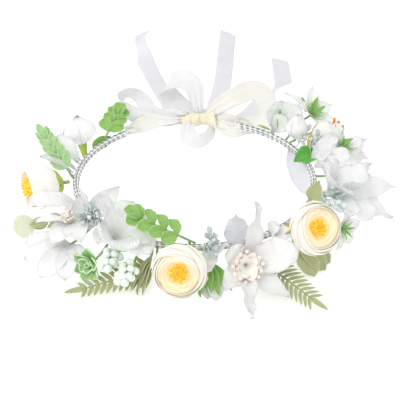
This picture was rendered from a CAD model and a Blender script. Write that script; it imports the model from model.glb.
"""Flower crown: cloth blooms, berries and leaves on a bound hoop, tied behind with a satin bow."""

import logging
import math
from dataclasses import dataclass, field, replace
from enum import Enum
from typing import Callable, Sequence

import bpy
import numpy as np
from mathutils import Matrix, Vector


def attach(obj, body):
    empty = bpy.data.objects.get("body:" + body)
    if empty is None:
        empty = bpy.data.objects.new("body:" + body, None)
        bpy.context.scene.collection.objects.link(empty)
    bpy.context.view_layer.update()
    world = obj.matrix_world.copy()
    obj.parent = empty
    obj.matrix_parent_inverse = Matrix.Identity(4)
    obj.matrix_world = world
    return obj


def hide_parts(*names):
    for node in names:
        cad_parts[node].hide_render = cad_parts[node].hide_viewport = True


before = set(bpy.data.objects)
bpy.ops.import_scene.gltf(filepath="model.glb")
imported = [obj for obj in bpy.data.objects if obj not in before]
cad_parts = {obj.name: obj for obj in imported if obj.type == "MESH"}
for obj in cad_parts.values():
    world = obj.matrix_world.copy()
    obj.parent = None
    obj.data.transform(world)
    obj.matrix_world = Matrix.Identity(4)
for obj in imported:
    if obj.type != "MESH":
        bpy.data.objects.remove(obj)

log = logging.getLogger("flower_crown")
MM = 0.001
Colour = tuple[float, float, float]
Triple = tuple[float, float, float]
Bend = Callable[[np.ndarray, np.ndarray], np.ndarray]

WIRE_RADIUS = 92.3
BAND_RADIUS = 94.6
HOOP_START = 128.0
HOOP_SWEEP = 300.0
FLOOR = -28.0
GOLDEN_TURN = 137.5
PETAL_FOOT = 95.3
PETAL_WALL = 0.3
LEAF_WALL = 0.4
FIRM_WALL = 0.5
SHEER_WALL = 0.22

# Where the wired stalks end: angle round the ring, radius and height.
FEET: dict[str, Triple] = {
    "succulent": (232.5, 118, -12),
    "lily_low_left": (220, 117, -10),
    "berries_upper": (239.5, 109, -4),
    "berries_lower": (247, 113, -9),
    "berry_sprig": (333, 98.6, 3),
    "magnolia_left": (216, 109, 2),
    "organza_right": (345, 104, 3),
    "organza_left": (237, 103, 2),
    "organza_back": (49, 99, -1),
    "lily_back": (37.5, 121, 16),
    "lily_right": (16.5, 122, 6),
    "blossom_right": (3, 117, -2),
    "lily_low_right": (332.5, 121, -9),
    "bud_back": (34.5, 101, 2),
    "cup_back": (24, 104, 0),
    "mint_sprig": (180, 96.6, 3),
    "green_sprig": (141, 96.8, 1.6),
    "slender_leaves": (252, 98, -7),
    "front_leaves": (276, 97.1, -10),
    "broad_leaves": (317, 97.6, -9),
    "band_leaf": (18, 101, 6),
    "olive_leaf": (332, 97.6, 8),
    "hanging_petals": (278, 96, -14),
    "bud_left": (153, 102.5, -6),
    "eucalyptus": (268, 96.6, 9),
    "fern_left": (254, 98, -17),
    "fern_right": (296, 98, -11),
    "olive_sprig": (206, 97.1, -7),
}


# ---------------------------------------------------------------- places

def ring_point(angle: float, radius: float, height: float) -> Vector:
    """Place on the crown, in millimetres, from an angle round the head ring, a radius and a height."""
    turn = math.radians(angle)
    return Vector((radius * math.cos(turn), radius * math.sin(turn), height))


def foot(name: str) -> Vector:
    """Place where a named stalk ends."""
    return ring_point(*FEET[name])


def turned(angle: float, axis: str) -> Matrix:
    """Turn of so many degrees about an axis."""
    return Matrix.Rotation(math.radians(angle), 4, axis)


def reaching(place: Vector, azimuth: float, rise: float, roll: float = 0.0) -> Matrix:
    """Carries a piece drawn along +X to a place and points it by azimuth and rise."""
    return Matrix.Translation(place) @ turned(azimuth, "Z") @ turned(-rise, "Y") @ turned(roll, "X")


def standing(place: Vector, azimuth: float, rise: float) -> Matrix:
    """Carries a piece drawn along +Z to a place and points it by azimuth and rise."""
    return Matrix.Translation(place) @ turned(azimuth, "Z") @ turned(90 - rise, "Y")


def towards(start: Vector, tip: Vector, roll: float = 0.0) -> Matrix:
    """Carries a piece drawn along +X to a start and points it at a tip.

    Args:
        start: where the piece begins, in millimetres.
        tip: the point that its +X end is aimed at.
        roll: turn about its own length, in degrees.

    Returns:
        The matrix that places the piece.
    """
    way = tip - start
    azimuth = math.degrees(math.atan2(way.y, way.x))
    rise = math.degrees(math.atan2(way.z, math.hypot(way.x, way.y)))
    return reaching(start, azimuth, rise, roll)


# ---------------------------------------------------------------- meshes

def deselect() -> None:
    """Leaves nothing selected."""
    bpy.ops.object.select_all(action="DESELECT")


def pick(obj: bpy.types.Object) -> None:
    """Selects one object and makes it the active one."""
    deselect()
    obj.select_set(True)
    bpy.context.view_layer.objects.active = obj


def move_points(obj: bpy.types.Object, points: np.ndarray) -> None:
    """Puts a mesh's vertices, given in millimetres, in place."""
    obj.data.vertices.foreach_set("co", (points * MM).astype(np.float32).ravel())
    obj.data.update()


def bent_grid(name: str, rows: int, columns: int, bend: Bend) -> bpy.types.Object:
    """Adds a grid and bends it into shape.

    Args:
        name: name of the new object.
        rows: faces along the piece.
        columns: faces across the piece.
        bend: takes u, from 0 to 1 along the piece, and v, from -1 to 1 across it.

    Returns:
        The bent grid, whose UV map keeps u and v.
    """
    bpy.ops.mesh.primitive_grid_add(x_subdivisions=rows, y_subdivisions=columns, size=2)
    obj = bpy.context.object
    obj.name = name
    flat = np.empty(len(obj.data.vertices) * 3, np.float32)
    obj.data.vertices.foreach_get("co", flat)
    flat = flat.reshape(-1, 3).astype(float)
    move_points(obj, bend((flat[:, 0] + 1) / 2, flat[:, 1]))
    return obj


def close_round(obj: bpy.types.Object, caps: bool = True) -> bpy.types.Object:
    """Joins the two long edges of a grid that was bent round, and caps its ends.

    Args:
        obj: a grid whose two long edges meet.
        caps: whether its two ends are filled.

    Returns:
        The closed object.
    """
    pick(obj)
    bpy.ops.object.mode_set(mode="EDIT")
    bpy.ops.mesh.select_all(action="SELECT")
    bpy.ops.mesh.remove_doubles(threshold=0.00002)
    if caps:
        bpy.ops.mesh.select_all(action="DESELECT")
        bpy.ops.mesh.select_non_manifold()
        bpy.ops.mesh.fill_holes(sides=0)
        bpy.ops.mesh.select_all(action="SELECT")
        bpy.ops.mesh.normals_make_consistent(inside=False)
    bpy.ops.object.mode_set(mode="OBJECT")
    return obj


def smooth_line(points: Sequence[Sequence[float]], count: int) -> np.ndarray:
    """Even samples of a smooth line through points of any number of values.

    Args:
        points: rows of values that the line goes through.
        count: number of samples.

    Returns:
        The samples, one to a row.
    """
    rows = np.array(points, float)
    padded = np.vstack([2 * rows[0] - rows[1], rows, 2 * rows[-1] - rows[-2]])
    out = []
    for s in np.linspace(0, len(rows) - 1 - 1e-9, 12 * count):
        i, t = int(s), s - int(s)
        a, b, c, d = padded[i:i + 4]
        out.append(0.5 * (2 * b + (c - a) * t + (2 * a - 5 * b + 4 * c - d) * t * t
                          + (3 * b - a - 3 * c + d) * t ** 3))
    line = np.array(out)
    run = np.concatenate([[0], np.cumsum(np.linalg.norm(np.diff(line[:, :3], axis=0), axis=1))])
    wanted = np.linspace(0, run[-1], count)
    return np.column_stack([np.interp(wanted, run, line[:, k]) for k in range(line.shape[1])])


def rod(name: str, points: Sequence[Sequence[float]], radius: float, tip: float = 1.0,
        sides: int = 8, rings: int = 12) -> bpy.types.Object:
    """Adds a closed round rod along a smooth line.

    Args:
        name: name of the new object.
        points: places on the line, in millimetres.
        radius: radius at the start.
        tip: share of the radius left at the far end.
        sides: faces round the rod.
        rings: faces along it.

    Returns:
        The rod.
    """
    line = smooth_line(points, rings + 1)[:, :3]
    ahead = np.gradient(line, axis=0)
    ahead /= np.linalg.norm(ahead, axis=1)[:, None]
    guide = np.array([0.0, 0.0, 1.0]) if abs(ahead[:, 2]).mean() < 0.8 else np.array([1.0, 0.0, 0.0])
    side = np.cross(ahead, guide)
    side /= np.linalg.norm(side, axis=1)[:, None]
    over = np.cross(side, ahead)

    def bend(u: np.ndarray, v: np.ndarray) -> np.ndarray:
        """Carries the grid round the line."""
        i = np.rint(u * rings).astype(int)
        turn = (v + 1) * np.pi
        size = radius * (1 + (tip - 1) * u)
        return line[i] + size[:, None] * (np.cos(turn)[:, None] * side[i] + np.sin(turn)[:, None] * over[i])

    return close_round(bent_grid(name, rings, sides, bend))


# ---------------------------------------------------------------- petals and leaves

class Cut(Enum):
    """Outline that a petal or leaf is cut to."""

    POINTED = "pointed"
    ROUND = "round"
    SPOON = "spoon"
    SLIM = "slim"
    TOOTHED = "toothed"


def half_width(cut: Cut, u: np.ndarray) -> np.ndarray:
    """Share of the half width that a cut leaves at each place from base to tip.

    Args:
        cut: outline of the blade.
        u: share of the way from base to tip.

    Returns:
        The share of the half width at each place.
    """
    if cut is Cut.POINTED:
        share = np.sin(np.pi * u ** 0.85) ** 0.85 * (1 - 0.25 * u ** 4)
    elif cut is Cut.SLIM:
        share = np.sin(np.pi * u ** 0.7) ** 0.6
    elif cut is Cut.TOOTHED:
        share = np.sin(np.pi * u ** 0.75) ** 0.8 * (1 + 0.09 * np.abs(((u * 9) % 1) - 0.3))
    elif cut is Cut.SPOON:
        share = np.where(u < 0.68, np.sin(np.pi / 2 * np.minimum(u / 0.68, 1)) ** 1.5,
                         np.sqrt(np.maximum(1 - (np.maximum(u - 0.68, 0) / 0.32) ** 2.3, 0)))
    else:
        share = np.where(u < 0.55, np.sin(np.pi / 2 * np.minimum(u / 0.55, 1)) ** 0.8,
                         np.sqrt(np.maximum(1 - (np.maximum(u - 0.55, 0) / 0.45) ** 2.4, 0)))
    return np.maximum(share, 0.13 * (1 - u) + 0.015)


@dataclass(frozen=True)
class Blade:
    """A petal's or leaf's cut and set, drawn along +X with its inner face up. Lengths in millimetres."""

    length: float
    width: float
    cut: Cut = Cut.POINTED
    curl: float = 20.0      # degrees that the tip bends back
    cup: float = 0.25       # share of the half width that the edges rise by
    ruffle: float = 0.0     # height of the waves along the edges
    waves: float = 2.5
    twist: float = 0.0      # degrees from base to tip
    keel: float = 0.0       # depth of the crease along the middle, as a share of the half width
    rows: int = 12
    columns: int = 8

    def bend(self, seed: int) -> Bend:
        """Shape of the blade; the seed moves its waves.

        Args:
            seed: moves the waves of the blade.

        Returns:
            The function that shapes a flat grid.
        """
        phase = 1.7 * seed
        arc = math.radians(self.curl) or 1e-6

        def shape(u: np.ndarray, v: np.ndarray) -> np.ndarray:
            """Bends, cups and ruffles the flat grid."""
            half = self.width / 2 * half_width(self.cut, u)
            side = v * half
            lift = self.cup * half * np.abs(v) ** 1.7 - self.keel * half * (1 - np.abs(v))
            wave = np.sin(2 * np.pi * self.waves * u + phase + 1.9 * (v > 0))
            wave = wave + 0.6 * np.sin(2 * np.pi * 2.3 * self.waves * u + 2.1 * phase)
            lift = lift + self.ruffle * wave * np.abs(v) ** 1.6 * u ** 0.6
            roll = math.radians(self.twist) * u
            y = side * np.cos(roll) - lift * np.sin(roll)
            n = side * np.sin(roll) + lift * np.cos(roll)
            x = self.length * np.sin(arc * u) / arc + n * np.sin(arc * u)
            z = -self.length * (1 - np.cos(arc * u)) / arc + n * np.cos(arc * u)
            return np.column_stack([x, y, z])

        return shape


class Posy:
    """Gathers the parts of one piece, then joins, thickens and dresses them."""

    models: dict[tuple, bpy.types.Mesh] = {}

    def __init__(self, name: str) -> None:
        """Starts an empty piece of that name."""
        self.name = name
        self.parts: list[bpy.types.Object] = []

    def take(self, obj: bpy.types.Object) -> None:
        """Adds a part that is already in place."""
        self.parts.append(obj)

    def copy(self, key: tuple, make: Callable[[], bpy.types.Object], place: Matrix) -> None:
        """Models a part the first time it is asked for, and adds a copy of it at a place, in millimetres.

        Args:
            key: what the part is known by.
            make: models the part.
            place: carries the copy to its place.
        """
        if key not in Posy.models:
            model = make()
            Posy.models[key] = model.data
            bpy.data.objects.remove(model)
        twin = bpy.data.objects.new(self.name, Posy.models[key].copy())
        bpy.context.scene.collection.objects.link(twin)
        metres = place.copy()
        metres.translation = place.translation * MM
        twin.data.transform(metres)
        self.parts.append(twin)

    def blade(self, blade: Blade, place: Matrix, seed: int = 0) -> None:
        """Adds one petal or leaf."""
        self.copy(("blade", blade, seed),
                  lambda: bent_grid("blade", blade.rows, blade.columns, blade.bend(seed)), place)

    def joined(self) -> bpy.types.Object:
        """Joins the parts into one object at the origin.

        Returns:
            The joined object.
        """
        deselect()
        for part in self.parts:
            part.select_set(True)
        bpy.context.view_layer.objects.active = self.parts[0]
        if len(self.parts) > 1:
            bpy.ops.object.join()
        obj = bpy.context.view_layer.objects.active
        obj.name = self.name
        obj.data.name = self.name
        return obj

    def finished(self, material: bpy.types.Material, body: str, slot: str, nodes: Sequence[str] = (),
                 wall: float = 0.0, levels: int = 0) -> bpy.types.Object:
        """Joins and dresses the piece and ties it to its body.

        Args:
            material: its finish.
            body: the body that it moves with.
            slot: the record's material slot.
            nodes: the plain solids that it stands for.
            wall: thickness given to open sheets, in millimetres; 0 where the parts are closed.
            levels: subdivision before the wall.

        Returns:
            The finished piece.
        """
        obj = self.joined()
        pick(obj)
        if levels:
            smooth = obj.modifiers.new("Rounding", "SUBSURF")
            smooth.levels = smooth.render_levels = levels
            smooth.boundary_smooth = "PRESERVE_CORNERS"
            bpy.ops.object.modifier_apply(modifier=smooth.name)
        if wall:
            thick = obj.modifiers.new("Wall", "SOLIDIFY")
            thick.thickness = wall * MM
            thick.offset = 0
            bpy.ops.object.modifier_apply(modifier=thick.name)
        bpy.ops.object.shade_smooth()
        obj.data.materials.clear()
        obj.data.materials.append(material)
        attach(obj, body)
        if nodes:
            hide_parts(*nodes)
        log.info("%s rides on %s with %d faces", self.name, body, len(obj.data.polygons))
        return obj


def ball(radius: float, fine: int = 2) -> Callable[[], bpy.types.Object]:
    """Maker of a small round bead.

    Args:
        radius: radius of the bead, in millimetres.
        fine: subdivisions of the sphere.

    Returns:
        The function that models the bead.
    """
    def make() -> bpy.types.Object:
        """Models the bead."""
        bpy.ops.mesh.primitive_ico_sphere_add(subdivisions=fine, radius=radius * MM)
        bead = bpy.context.object
        bpy.ops.object.mode_set(mode="EDIT")
        bpy.ops.transform.resize(value=(1, 1, 1.06))
        bpy.ops.object.mode_set(mode="OBJECT")
        return bead
    return make


# ---------------------------------------------------------------- finishes

class Recipe:
    """A node tree under construction round one Principled shader."""

    def __init__(self, name: str, roughness: float, sheen: float = 0.0, coat: float = 0.0,
                 glow: Colour = (0.0, 0.0, 0.0)) -> None:
        """Makes the material and sets the values that are the same all over.

        Args:
            name: name of the material.
            roughness: roughness of its surface.
            sheen: weight of the sheen.
            coat: weight of the clear coat.
            glow: light let through from behind.
        """
        self.material = bpy.data.materials.new(name)
        self.material.use_nodes = True
        self.tree = self.material.node_tree
        self.shader = self.tree.nodes["Principled BSDF"]
        self.set(self.shader, "Roughness", roughness)
        self.set(self.shader, "Sheen Weight", sheen)
        self.set(self.shader, "Coat Weight", coat)
        self.set(self.shader, "Emission Color", (*glow, 1.0))
        self.set(self.shader, "Emission Strength", 1.0 if any(glow) else 0.0)

    def set(self, node: bpy.types.Node, socket: str | int, value: object) -> None:
        """Sets a socket's own value."""
        node.inputs[socket].default_value = value

    def add(self, kind: str, **inputs: object) -> bpy.types.Node:
        """Adds a node; each input is a value or another node's output socket.

        Args:
            kind: type of the node.
            inputs: values or other nodes' outputs, by socket.

        Returns:
            The new node.
        """
        node = self.tree.nodes.new("ShaderNode" + kind)
        for name, value in inputs.items():
            self.feed(node, name.replace("_", " "), value)
        return node

    def feed(self, node: bpy.types.Node, socket: str | int, value: object) -> None:
        """Links an output to a socket, or sets the socket's value.

        Args:
            node: the node to feed.
            socket: name or number of the socket.
            value: an output to link, or a value to set.
        """
        if isinstance(value, bpy.types.NodeSocket):
            self.tree.links.new(value, node.inputs[socket])
        else:
            node.inputs[socket].default_value = value

    def math(self, operation: str, first: object, second: object = 0.0,
             third: object = 0.0) -> bpy.types.NodeSocket:
        """Adds a Math node and gives its output.

        Args:
            operation: which sum it does.
            first: first value or output.
            second: second value or output.
            third: third value or output, where the sum has one.

        Returns:
            The result.
        """
        node = self.tree.nodes.new("ShaderNodeMath")
        node.operation = operation
        for i, value in enumerate((first, second, third)):
            self.feed(node, i, value)
        return node.outputs[0]

    def along_across(self) -> tuple[bpy.types.NodeSocket, bpy.types.NodeSocket]:
        """The piece's own UV map: along it, and across it."""
        split = self.add("SeparateXYZ", Vector=self.add("TexCoord").outputs["UV"])
        return split.outputs[0], split.outputs[1]

    def noise(self, scale: float, detail: float = 3.0) -> bpy.types.NodeSocket:
        """Noise on Object coordinates, as a value."""
        spot = self.add("TexCoord").outputs["Object"]
        return self.add("TexNoise", Vector=spot, Scale=scale, Detail=detail).outputs[0]

    def ramp(self, value: bpy.types.NodeSocket,
             stops: Sequence[tuple[float, Colour]]) -> bpy.types.NodeSocket:
        """Colours by value.

        Args:
            value: what picks the colour.
            stops: places from 0 to 1, and their colours.

        Returns:
            The colour.
        """
        node = self.add("ValToRGB", Fac=value)
        band = node.color_ramp
        while len(band.elements) < len(stops):
            band.elements.new(0.5)
        for element, (spot, colour) in zip(band.elements, stops):
            element.position = spot
            element.color = (*colour, 1)
        return node.outputs[0]

    def mixed(self, share: object, first: object, second: object) -> bpy.types.NodeSocket:
        """Mixes two colours.

        Args:
            share: how far from the first to the second.
            first: first colour.
            second: second colour.

        Returns:
            The mixed colour.
        """
        node = self.tree.nodes.new("ShaderNodeMix")
        node.data_type = "RGBA"
        for socket, value in ((0, share), (6, first), (7, second)):
            self.feed(node, socket, (*value, 1) if isinstance(value, tuple) else value)
        return node.outputs[2]

    def done(self, colour: bpy.types.NodeSocket, height: bpy.types.NodeSocket,
             depth: float) -> bpy.types.Material:
        """Feeds the colour and the relief, whose depth is in millimetres.

        Args:
            colour: colour of the surface.
            height: relief of the surface.
            depth: depth of the relief, in millimetres.

        Returns:
            The finished material.
        """
        self.feed(self.shader, "Base Color", colour)
        relief = self.add("Bump", Strength=0.8, Distance=depth * MM, Height=height)
        self.feed(self.shader, "Normal", relief.outputs[0])
        return self.material


@dataclass(frozen=True)
class PetalCloth:
    """Pressed silk cloth, tinted from heart to edge, with veins that fan along it."""

    name: str
    body: Colour
    heart: Colour
    edge: Colour
    heart_end: float = 0.25
    edge_start: float = 0.92
    rim_sharpness: float = 9.0
    veins: float = 16.0
    vein_depth: float = 0.25
    vein_shade: float = 0.06
    alpha: float = 1.0
    roughness: float = 0.85
    weave: float = 2200.0
    let_through: float = 0.05
    crinkle: float = 0.0

    def material(self) -> bpy.types.Material:
        """Builds the finish.

        Returns:
            The finished material.
        """
        glow = tuple(self.let_through * c for c in self.body)
        made = Recipe(self.name, self.roughness, sheen=0.15, glow=glow)
        made.set(made.shader, "Alpha", self.alpha)
        made.set(made.shader, "Specular IOR Level", 0.25)
        along, across = made.along_across()
        drift = made.math("MULTIPLY", made.noise(70), 0.16)
        spread = made.math("ADD", made.math("SUBTRACT", across, 0.58), drift)
        fan = made.math("DIVIDE", spread, made.math("ADD", along, 0.35))
        vein = made.math("PINGPONG", made.math("MULTIPLY", fan, self.veins), 0.5)
        vein = made.math("POWER", made.math("MULTIPLY", vein, 2.0), 3.0)
        tint = made.ramp(along, [(0.0, self.heart), (self.heart_end, self.body),
                                 (self.edge_start, self.body), (1.0, self.edge)])
        out = made.math("MULTIPLY", made.math("ABSOLUTE", made.math("SUBTRACT", across, 0.5)), 2.0)
        tint = made.mixed(made.math("POWER", out, self.rim_sharpness), tint, self.edge)
        shade = tuple(c * 0.88 for c in self.body)
        colour = made.mixed(made.math("MULTIPLY", vein, self.vein_shade * 4), tint, shade)
        colour = made.mixed(made.math("MULTIPLY", made.noise(45, 5), 0.10), colour, shade)
        grain = made.noise(self.weave, 2)
        height = made.math("MULTIPLY_ADD", grain, 0.25, vein)
        height = made.math("MULTIPLY_ADD", made.noise(240, 5), self.crinkle, height)
        return made.done(colour, height, self.vein_depth)


@dataclass(frozen=True)
class LeafSkin:
    """Moulded or flocked leaf with a midrib, side veins and a paler rim."""

    name: str
    blade: Colour
    rim: Colour
    rib: Colour
    rim_start: float = 0.8
    side_veins: float = 9.0
    roughness: float = 0.55
    sheen: float = 0.1
    mottle: float = 0.3

    def material(self) -> bpy.types.Material:
        """Builds the finish.

        Returns:
            The finished material.
        """
        made = Recipe(self.name, self.roughness, sheen=self.sheen)
        along, across = made.along_across()
        out = made.math("MULTIPLY", made.math("ABSOLUTE", made.math("SUBTRACT", across, 0.5)), 2.0)
        tint = made.ramp(out, [(0.0, self.rib), (0.07, self.blade), (self.rim_start, self.blade),
                               (1.0, self.rim)])
        slant = made.math("MULTIPLY_ADD", out, -0.35, along)
        side = made.math("PINGPONG", made.math("MULTIPLY", slant, self.side_veins), 0.5)
        side = made.math("POWER", made.math("MULTIPLY", side, 2.0), 4.0)
        colour = made.mixed(made.math("MULTIPLY", side, 0.35), tint, self.rib)
        cloud = made.math("MULTIPLY", made.noise(160, 4), self.mottle)
        colour = made.mixed(cloud, colour, tuple(min(1.0, 1.25 * c + 0.06) for c in self.blade))
        height = made.math("MULTIPLY_ADD", made.noise(1500, 2), 0.3, made.math("SUBTRACT", 1.0, side))
        return made.done(colour, height, 0.2)


@dataclass(frozen=True)
class Satin:
    """Satin ribbon: a soft sheen, fine threads across it and a corded edge."""

    name: str
    face: Colour
    fold: Colour

    def material(self) -> bpy.types.Material:
        """Builds the finish.

        Returns:
            The finished material.
        """
        made = Recipe(self.name, 0.5, sheen=0.15)
        made.set(made.shader, "Anisotropic", 0.4)
        along, across = made.along_across()
        cloud = made.ramp(made.noise(38, 4), [(0.35, self.face), (0.75, self.fold)])
        out = made.math("MULTIPLY", made.math("ABSOLUTE", made.math("SUBTRACT", across, 0.5)), 2.0)
        edge = made.math("GREATER_THAN", out, 0.93)
        colour = made.mixed(made.math("MULTIPLY", edge, 0.25), cloud, tuple(0.93 * c for c in self.face))
        thread = made.math("PINGPONG", made.math("MULTIPLY", along, 260.0), 0.5)
        grain = made.math("MULTIPLY_ADD", made.noise(300, 3), 1.5,
                          made.math("MULTIPLY_ADD", edge, 0.8, thread))
        return made.done(colour, grain, 0.06)


@dataclass(frozen=True)
class Skin:
    """Plain moulded, painted or flocked finish, clouded between two colours."""

    name: str
    light: Colour
    deep: Colour
    roughness: float = 0.5
    coat: float = 0.0
    sheen: float = 0.0
    cloud: float = 220.0
    grain: float = 1800.0
    depth: float = 0.08
    let_through: float = 0.0

    def material(self) -> bpy.types.Material:
        """Builds the finish.

        Returns:
            The finished material.
        """
        glow = tuple(self.let_through * c for c in self.light)
        made = Recipe(self.name, self.roughness, self.sheen, self.coat, glow)
        colour = made.ramp(made.noise(self.cloud, 4), [(0.35, self.deep), (0.62, self.light)])
        return made.done(colour, made.noise(self.grain, 3), self.depth)


class Finishes:
    """Every finish of the crown, built once."""

    def __init__(self) -> None:
        """Builds the materials."""
        white, shade = (0.93, 0.93, 0.92), (0.76, 0.77, 0.81)
        self.ivory = PetalCloth("ivory cloth", (0.96, 0.91, 0.78), (1.0, 0.84, 0.46), (0.97, 0.66, 0.40),
                                heart_end=0.5, edge_start=0.95, rim_sharpness=40, veins=9, vein_depth=0.1,
                                vein_shade=0.02, let_through=0.2).material()
        self.cream = PetalCloth("cream cloth", (0.93, 0.90, 0.83), (0.90, 0.86, 0.70), (0.90, 0.82, 0.70),
                                edge_start=0.95, rim_sharpness=20, veins=9, vein_depth=0.1, vein_shade=0.03,
                                let_through=0.08).material()
        self.cup = PetalCloth("cup cloth", (0.92, 0.89, 0.82), (0.85, 0.82, 0.68), (0.84, 0.80, 0.72),
                              veins=12, vein_depth=0.15).material()
        self.white = PetalCloth("white cloth", white, (0.86, 0.88, 0.82), shade, vein_shade=0.09).material()
        self.lily = PetalCloth("lily cloth", white, (0.36, 0.70, 0.18), shade, heart_end=0.5,
                               veins=8).material()
        self.magnolia = PetalCloth("magnolia cloth", (0.95, 0.95, 0.93), (0.86, 0.82, 0.70),
                                   (0.82, 0.82, 0.81),
                                   veins=20, vein_depth=0.5, vein_shade=0.1, crinkle=2.5,
                                   let_through=0.08).material()
        self.organza = PetalCloth("organza", (0.95, 0.96, 0.95), (0.85, 0.91, 0.81), (0.87, 0.88, 0.89),
                                  veins=14, vein_depth=0.5, vein_shade=0.12, alpha=0.66, crinkle=4.0,
                                  let_through=0.11).material()
        self.lilac = PetalCloth("grey organza", (0.80, 0.80, 0.84), (0.78, 0.79, 0.82), (0.74, 0.74, 0.80),
                                veins=12, alpha=0.85, let_through=0.1).material()
        self.eye = Skin("flocked eye", (1.0, 0.76, 0.10), (1.0, 0.42, 0.02), 0.8, sheen=0.2, cloud=420,
                        let_through=0.2).material()
        self.orange = Skin("orange stamen", (0.98, 0.45, 0.05), (0.9, 0.30, 0.02), 0.6).material()
        self.pearl = Skin("pearled stamen", (0.95, 0.86, 0.78), (0.93, 0.74, 0.64), 0.45, coat=0.3,
                          cloud=700).material()
        self.column = Skin("white column", (0.93, 0.92, 0.88), (0.86, 0.84, 0.76), 0.7).material()
        self.filament = Skin("filament", (0.90, 0.84, 0.74), (0.84, 0.74, 0.6), 0.6).material()
        self.fresh = LeafSkin("fresh leaf", (0.27, 0.52, 0.11), (0.44, 0.68, 0.26),
                              (0.46, 0.70, 0.28)).material()
        self.mint = LeafSkin("mint leaf", (0.40, 0.65, 0.28), (0.62, 0.80, 0.50),
                             (0.58, 0.78, 0.44)).material()
        self.bright = LeafSkin("bright leaf", (0.10, 0.42, 0.05), (0.25, 0.58, 0.16), (0.22, 0.55, 0.12),
                               side_veins=6).material()
        self.olive = LeafSkin("olive leaf", (0.46, 0.50, 0.24), (0.66, 0.68, 0.44), (0.60, 0.62, 0.38),
                              roughness=0.8, sheen=0.3).material()
        self.pale_olive = LeafSkin("pale olive leaf", (0.70, 0.74, 0.55), (0.78, 0.80, 0.66),
                                   (0.74, 0.76, 0.6),
                                   roughness=0.85, sheen=0.3).material()
        self.ochre = LeafSkin("ochre leaf", (0.62, 0.40, 0.11), (0.42, 0.44, 0.14), (0.70, 0.5, 0.22),
                              roughness=0.7).material()
        self.calyx = LeafSkin("calyx", (0.40, 0.52, 0.05), (0.56, 0.66, 0.14), (0.46, 0.56, 0.1)).material()
        self.sage = LeafSkin("sage leaf", (0.60, 0.69, 0.66), (0.80, 0.85, 0.83), (0.72, 0.78, 0.76),
                             roughness=0.85).material()
        self.sage_bead = Skin("sage bead", (0.80, 0.86, 0.84), (0.60, 0.69, 0.66), 0.6,
                              cloud=400).material()
        self.berry = Skin("pearly berry", (0.93, 0.96, 0.93), (0.78, 0.91, 0.77), 0.28, coat=0.5,
                          cloud=260).material()
        self.blue_berry = Skin("dusted berry", (0.84, 0.90, 0.92), (0.62, 0.74, 0.74), 0.5, coat=0.2,
                               cloud=330).material()
        self.core = Skin("berry core", (0.36, 0.74, 0.26), (0.22, 0.58, 0.16), 0.6).material()
        self.stem = Skin("green stem", (0.34, 0.48, 0.20), (0.20, 0.32, 0.12), 0.7).material()
        self.olive_stem = Skin("olive stem", (0.42, 0.45, 0.2), (0.3, 0.33, 0.14), 0.75).material()
        self.dark_stem = Skin("bound stem", (0.34, 0.38, 0.34), (0.10, 0.12, 0.12), 0.7,
                              cloud=420).material()
        self.tape = Skin("floral tape", (0.90, 0.90, 0.91), (0.78, 0.78, 0.80), 0.75, cloud=600,
                         grain=2600, depth=0.12).material()
        self.wire = Skin("white wire", (0.88, 0.88, 0.88), (0.8, 0.8, 0.81), 0.35).material()
        self.cream_satin = Satin("cream satin", (0.90, 0.89, 0.85), (0.82, 0.80, 0.73)).material()
        self.knot_satin = Satin("knot satin", (0.91, 0.86, 0.70), (0.86, 0.78, 0.54)).material()
        self.pale_satin = Satin("pale satin", (0.85, 0.845, 0.86), (0.79, 0.78, 0.80)).material()
        self.cool_satin = Satin("cool satin", (0.82, 0.81, 0.85), (0.76, 0.75, 0.80)).material()


# ---------------------------------------------------------------- band

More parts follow.
